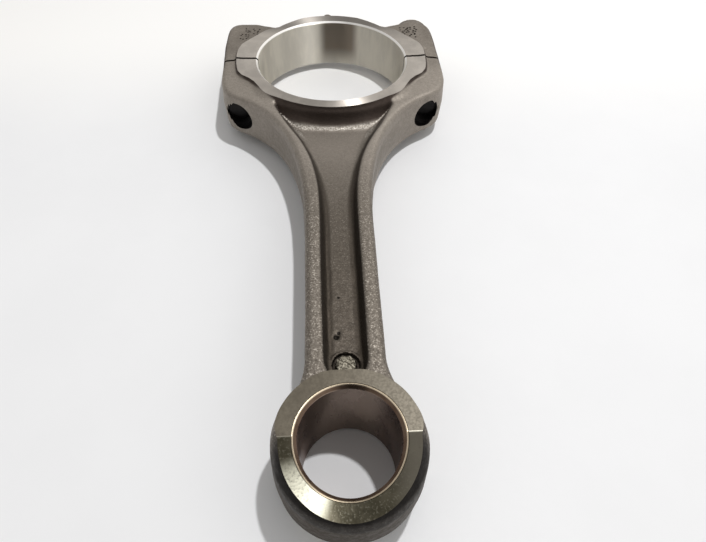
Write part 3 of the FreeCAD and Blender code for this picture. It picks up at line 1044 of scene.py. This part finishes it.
# --- the object's pieces ---
def machined_forging():
    """The forging with its faces, bores and bolt seats machined, still in one piece."""
    whole = field_mesh("forging")
    whole.data.materials.append(FORGED)
    cut(whole, thrust_face_tools(), THRUST)
    cut(whole, small_face_tools(), SMALL_FACE)
    cut(whole, bore_tool(BIG_R, BORE_CHAMFER, BIG_HALF, (0, 0)), BORE)
    cut(whole, revolve([(BUSH_OUTER, -FAR), (BUSH_OUTER, FAR)], (0, PIN_Y), segments=256), HOUSING)
    seats = [revolve([(radius, SEAT_Y), (radius, SEAT_Y + 12)], (x, 0), axis="y", segments=96)
             for x, radius in zip(BOLT_SIDES, (SEAT_R, COLLAR_SEAT_R))]
    cut(whole, joined(seats), SEAT)
    return whole


def make_rod(whole):
    """Everything on the shank's side of the crack, with its two tapped holes."""
    rod = whole
    rod.name = "rod_forging"
    cut(rod, fracture_block(True), TORN)
    cut(rod, joined([screw_solid(x, TAPPED_FROM, TAPPED_TO, THREAD_R) for x in BOLT_SIDES]), THREAD)
    mouth = [(MOUTH_R, TAPPED_FROM - 21), (MOUTH_R, TAPPED_FROM + 2.4),
             (THREAD_R - THREAD_DEPTH, TAPPED_FROM + 3.2)]
    cut(rod, joined([revolve(mouth, (x, 0), axis="y", segments=96) for x in BOLT_SIDES]), THREAD)
    sharpen(rod, machined=SMALL_FACE)
    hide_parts("rod_body")
    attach(rod, "rod")


def make_cap(whole):
    """A copy of everything beyond the crack, with its two clear holes and the dot marks."""
    cap = whole.copy()
    cap.data = whole.data.copy()
    bpy.context.scene.collection.objects.link(cap)
    cap.name = "cap_forging"
    cut(cap, fracture_block(False), TORN)
    hole = [(CAP_HOLE_R, -10), (CAP_HOLE_R, FAR)]
    cut(cap, joined([revolve(hole, (x, 0), axis="y", segments=64) for x in BOLT_SIDES]), SEAT)
    cut(cap, dot_marks(), MARK)
    sharpen(cap)
    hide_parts("bearing_cap")
    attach(cap, "cap")


def make_bush():
    """A thin bronze ring, chamfered inside, that follows the small end's taper."""
    inner, outer, half, edge = BUSH_R, BUSH_OUTER - 0.12, SMALL_HALF, BUSH_CHAMFER
    profile = [(inner, -half + edge), (inner + edge, -half), (outer, -half), (outer, half),
               (inner + edge, half), (inner, half - edge)]
    vertices, faces = tube(profile, (0, PIN_Y), segments=256)
    limit = taper_height(vertices[:, 1]) - 0.03
    vertices[:, 2] += np.sign(vertices[:, 2]) * np.minimum(0, limit - half)
    bush = build_mesh("bronze_bush", vertices, faces, BUSH)
    bush.data.materials.append(BUSH_FACE)
    for face in bush.data.polygons:
        flat = all(math.hypot(v.co.x / MM, v.co.y / MM - PIN_Y) > inner + edge / 2
                   for v in (bush.data.vertices[i] for i in face.vertices))
        face.material_index = 1 if flat else 0
    sharpen(bush, 25)
    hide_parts("small_end_bush")
    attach(bush, "rod")


def make_bolt(x, node, body):
    """A cap bolt: thread, waisted shank, flange and a twelve-point head."""
    thread_top = BOLT_END + THREAD_LENGTH
    thread = screw_solid(x, BOLT_END, thread_top, THREAD_R - THREAD_PLAY, point=1.0)
    bolt = build_mesh(node.replace("cap_", "") + "_screw", *thread, BOLT)
    shank = revolve([(WAIST_R - 0.5, thread_top - 1), (WAIST_R, thread_top), (WAIST_R, SEAT_Y - 0.6),
                     (WAIST_R + 0.5, SEAT_Y), (FLANGE_R - 0.15, SEAT_Y), (FLANGE_R, SEAT_Y + 0.2),
                     (FLANGE_R, SEAT_Y + 0.9), (FLANGE_R - 0.5, SEAT_Y + 1.3),
                     (HEAD_R + 0.1, SEAT_Y + 1.7), (3.0, SEAT_Y + 1.9)], (x, 0), axis="y", segments=96)
    add_solid(bolt, shank)
    add_solid(bolt, star_head(x))
    sharpen(bolt, 35)
    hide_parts(node)
    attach(bolt, body)


def star_head(x, segments=144):
    """Twelve rounded lobes with a chamfered top and a shallow round dish."""
    angle = np.arange(segments) / segments * 2 * math.pi
    lobes = HEAD_R - LOBE_HALF_DEPTH + LOBE_HALF_DEPTH * np.cos(HEAD_POINTS * angle)
    circle = np.full(segments, HEAD_R)
    rows = [(lobes, SEAT_Y + 1.2), (lobes, BOLT_TOP - 0.5), (lobes * 0.93, BOLT_TOP),
            (circle * 0.62, BOLT_TOP), (circle * 0.54, BOLT_TOP - 0.5)]
    return skin([np.stack([x + radius * np.sin(angle), np.full(segments, y), radius * np.cos(angle)], 1)
                 for radius, y in rows])


# --- stage ---
def make_floor():
    n = Surface("table_top")
    y = n.split(n.position)[1]
    mottle = n.noise(40.0, 4.0)
    speck = n.noise(1.2, 2.0)
    color = n.mix(n.ramp(mottle, 0.3, 0.7), rgb(0.845, 0.85, 0.865), rgb(0.865, 0.87, 0.885))
    # Painted shade: the table is painted greyer on the viewer's side, as a soft shadow, and lighter beyond
    # the big end.
    color = n.mix(n.ramp(y, -30, 60), color, rgb(0.965, 0.96, 0.95))
    n.shader.inputs["Specular IOR Level"].default_value = 0.25
    n.finish(color, 0.0, n.ramp(speck, 0.3, 0.7, 0.5, 0.62), n.bump(speck, 0.005, 0.3))
    size = 3000.0
    level = ROD_LOW[2] - 0.02
    corners = [(-size, -size, level), (size, -size, level), (size, size, level), (-size, size, level)]
    floor = build_mesh("table", corners, [[0, 1, 2, 3]], n.material)


def area_light(name, place_mm, target_mm, size_mm, power):
    data = bpy.data.lights.new(name, "AREA")
    data.energy = power
    data.size = size_mm * MM
    light = bpy.data.objects.new(name, data)
    light.location = Vector(place_mm) * MM
    direction = (Vector(target_mm) - Vector(place_mm)).to_track_quat("-Z", "Y")
    light.rotation_euler = direction.to_euler()
    bpy.context.scene.collection.objects.link(light)


def make_light():
    """A small lamp overhead and to the right, in a bright room that is dark where the viewer stands."""
    world = bpy.data.worlds.new("studio")
    bpy.context.scene.world = world
    world.use_nodes = True
    n = Nodes(world.node_tree)
    x, y, z = n.split(n.add("ShaderNodeTexCoord").outputs["Generated"])
    room = n.product(n.ramp(y, -0.30, 0.55, 0.70, 0.80), n.ramp(x, -0.45, 0.45, 0.80, 1.28))
    ceiling = n.ramp(z, 0.60, 0.92)
    walls = n.math("SUBTRACT", 1.0, ceiling)
    light = n.math("ADD", n.product(room, walls), n.product(ceiling, 0.42))
    azimuth = n.math("ARCTAN2", x, n.product(y, -1.0))
    viewer = n.ramp(n.math("ABSOLUTE", n.math("ADD", azimuth, 0.08)), 0.36, 0.46, 1.0, 0.0)
    viewer = n.product(viewer, n.ramp(z, 0.80, 0.9, 0.9, 0.0))
    background = n.tree.nodes["Background"]
    n.link(n.product(light, n.math("SUBTRACT", 1.0, viewer)), background.inputs["Strength"])
    n.link(rgb(1.0, 0.985, 0.96), background.inputs["Color"])
    area_light("lamp", (140, 25, 610), (0, -50, 0), 22, 2.15)


def make_camera():
    """The camera stands over the small end and looks along the rod."""
    place_mm = (-3.21, -184.81, 112.57)
    yaw, pitch, roll = (math.radians(angle) for angle in (4.073, 50.938, 1.544))
    data = bpy.data.cameras.new("camera")
    data.sensor_width = 36.0
    data.lens = 27.39
    data.clip_start = 0.005
    camera = bpy.data.objects.new("camera", data)
    bpy.context.scene.collection.objects.link(camera)
    ahead = Vector((math.sin(yaw), math.cos(yaw), 0))
    right = Vector((math.cos(yaw), -math.sin(yaw), 0))
    up = Vector((0, 0, 1))
    view = ahead * math.cos(pitch) - up * math.sin(pitch)
    top = up * math.cos(pitch) + ahead * math.sin(pitch)
    side = right * math.cos(roll) + top * math.sin(roll)
    top = top * math.cos(roll) - right * math.sin(roll)
    turn = Matrix((side, top, -view)).transposed().to_4x4()
    camera.matrix_world = Matrix.Translation(Vector(place_mm) * MM) @ turn
    bpy.context.scene.camera = camera


# --- build ---
forging = machined_forging()
make_cap(forging)
make_rod(forging)
make_bush()
make_bolt(-BOLT_X, "cap_bolt_left", "left_bolt")
make_bolt(BOLT_X, "cap_bolt_right", "right_bolt")
make_floor()
make_light()
make_camera()
bpy.context.scene.view_settings.view_transform = "Standard"
